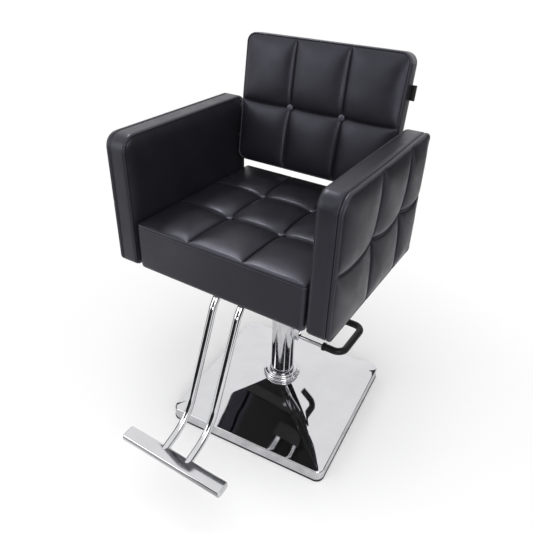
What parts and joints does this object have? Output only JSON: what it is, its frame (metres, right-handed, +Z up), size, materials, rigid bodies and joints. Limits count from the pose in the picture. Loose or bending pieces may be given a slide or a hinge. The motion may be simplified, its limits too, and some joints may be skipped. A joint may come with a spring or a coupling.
{
  "type": "hydraulic styling chair",
  "caption": "Salon chair on a square chrome base: tufted black seat, back and box arms on a foot-pumped column that lifts and swivels, with a chrome footrest.",
  "frame": {"origin": "on the floor, under the column's axis", "axes": "+Z up along the column, -Y the way the seat faces, +X to the sitter's left"},
  "size_m": [0.6094, 0.8219, 1.1057],
  "materials": {
    "upholstery": "coated fabric that looks like fine-grained leather, over foam",
    "leather": "soft sheen, fine grain",
    "chrome": "polished",
    "steel": "bright zinc",
    "black_metal": "satin black",
    "rubber": "matt",
    "brass": "machined",
    "plywood": "raw"
  },
  "bodies": {
    "base": {"base_mat": "rubber", "base_plate": "steel", "base_cover": "chrome", "collar": "chrome", "pump_foot": "steel", "pump_tube": "chrome", "pressure_tube": "steel", "valve_block": "black_metal", "pump_head": "black_metal", "pump_bush": "brass", "lever_bracket": "chrome", "lever_pin": "steel", "flange_bolt_1": "steel", "flange_bolt_2": "steel", "flange_bolt_3": "steel", "flange_bolt_4": "steel"},
    "lift": {"ram": "chrome", "piston": "steel", "piston_seal": "rubber", "thrust_washer": "brass"},
    "seat": {"arm_left_core": "plywood", "arm_left_cover": "upholstery", "arm_left_pad": "upholstery", "arm_right_core": "plywood", "arm_right_cover": "upholstery", "arm_right_pad": "upholstery", "arm_screw_1": "steel", "arm_screw_2": "steel", "arm_screw_3": "steel", "arm_screw_4": "steel", "back_board": "plywood", "back_button_1": "leather", "back_button_2": "leather", "back_cover": "upholstery", "back_pad": "upholstery", "back_stud_1": "black_metal", "back_stud_2": "black_metal", "back_stud_3": "black_metal", "back_stud_4": "black_metal", "foot_bar": "chrome", "footrest_bracket": "black_metal", "footrest_tube_left": "chrome", "footrest_tube_right": "chrome", "hub": "steel", "seat_board": "plywood", "seat_bolt_1": "steel", "seat_bolt_2": "steel", "seat_bolt_3": "steel", "seat_bolt_4": "steel", "seat_button_1": "leather", "seat_button_2": "leather", "seat_button_3": "leather", "seat_button_4": "leather", "seat_cushion": "upholstery", "seat_frame": "black_metal", "swivel_bush": "brass"},
    "pedal": {"pedal_lever": "chrome", "pedal_sleeve": "rubber"},
    "plunger": {"plunger": "steel"}
  },
  "joints": [
    {"name": "seat_lift", "type": "slide", "parent": "base", "child": "lift", "axis": [0, 0, 1], "range_m": [-0.16, 0]},
    {"name": "seat_swivel", "type": "hinge", "parent": "lift", "child": "seat", "pos_m": [0, 0, 0.57], "axis": [0, 0, 1], "continuous": true},
    {"name": "pedal_press", "type": "hinge", "parent": "base", "child": "pedal", "pos_m": [0.048, 0, 0.278], "axis": [0, 1, 0], "range_deg": [0, 16], "stiffness_Nm_per_rad": 12, "springref_deg": -14.32},
    {"name": "plunger_slide", "type": "slide", "parent": "base", "child": "plunger", "axis": [0, 0, 1], "range_m": [0, 0.0065]}
  ],
  "couplings": [
    {"joint": "plunger_slide", "follows": "pedal_press", "m_per_rad": 0.0225}
  ]
}
